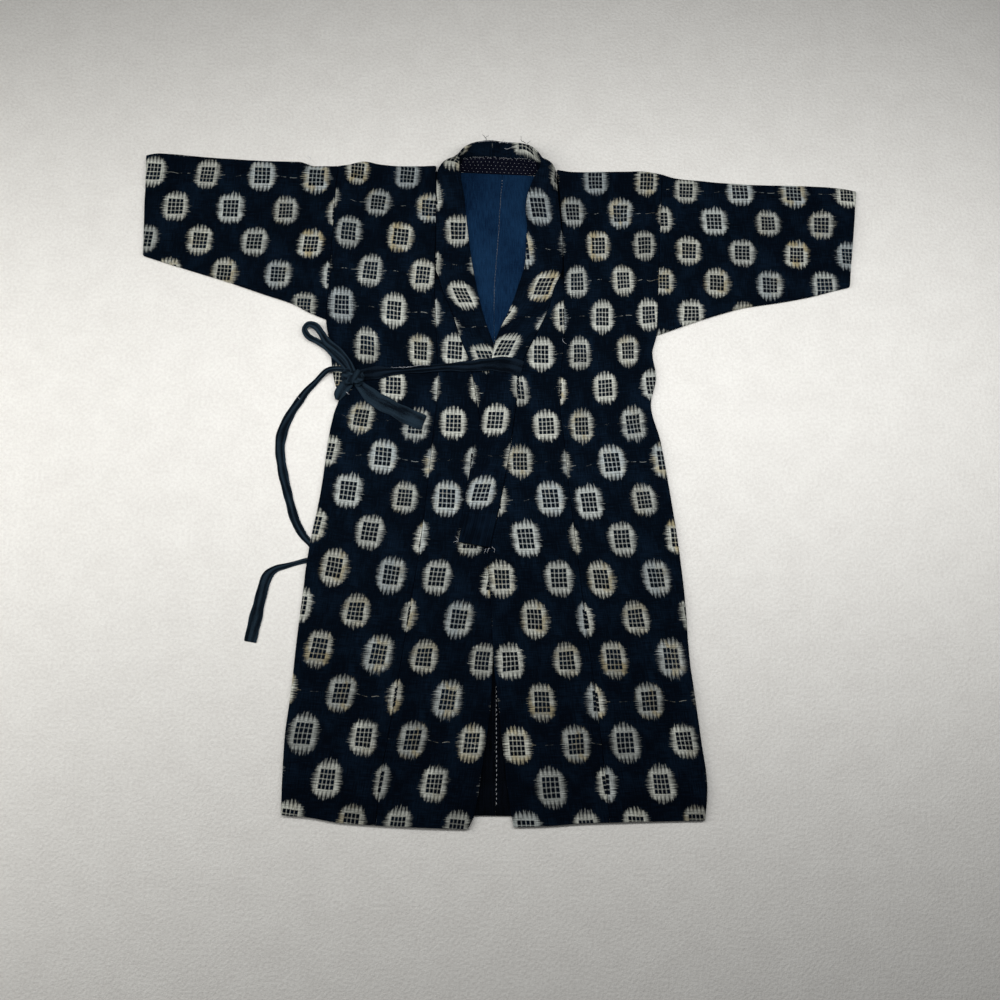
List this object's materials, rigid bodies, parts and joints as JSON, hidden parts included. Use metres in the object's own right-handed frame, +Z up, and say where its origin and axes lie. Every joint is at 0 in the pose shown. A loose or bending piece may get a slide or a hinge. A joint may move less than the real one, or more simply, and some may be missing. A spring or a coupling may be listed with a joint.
{
  "type": "noragi",
  "caption": "long lined indigo cotton work coat with woven dots, a collar band and a knotted cloth tie, laid flat with its front up",
  "frame": {"origin": "on the table, under the middle of the coat's outline", "axes": "+X towards the wearer's left sleeve, +Y towards the collar, +Z up off the table"},
  "size_m": [1.24, 1.1416, 0.0312],
  "materials": {
    "kasuri_cotton": "matt plain weave",
    "collar_cotton": "matt plain weave",
    "stitched_facing": "matt, with running stitches",
    "blue_lining": "matt plain weave",
    "dark_lining": "matt plain weave",
    "tie_cotton": "worn matt cotton"
  },
  "bodies": {
    "root": {"right_body": "kasuri_cotton", "left_body": "kasuri_cotton", "right_overlap": "kasuri_cotton", "left_overlap": "kasuri_cotton", "right_sleeve": "kasuri_cotton", "left_sleeve": "kasuri_cotton", "collar": "collar_cotton", "neck_facing": "stitched_facing", "right_neck_lining": "blue_lining", "left_neck_lining": "blue_lining", "right_hem_lining": "dark_lining", "left_hem_lining": "dark_lining", "front_tie": "tie_cotton", "side_tie": "tie_cotton", "tie_knot": "tie_cotton", "tie_loop": "tie_cotton", "short_tail": "tie_cotton", "long_tail": "tie_cotton"}
  },
  "joints": []
}
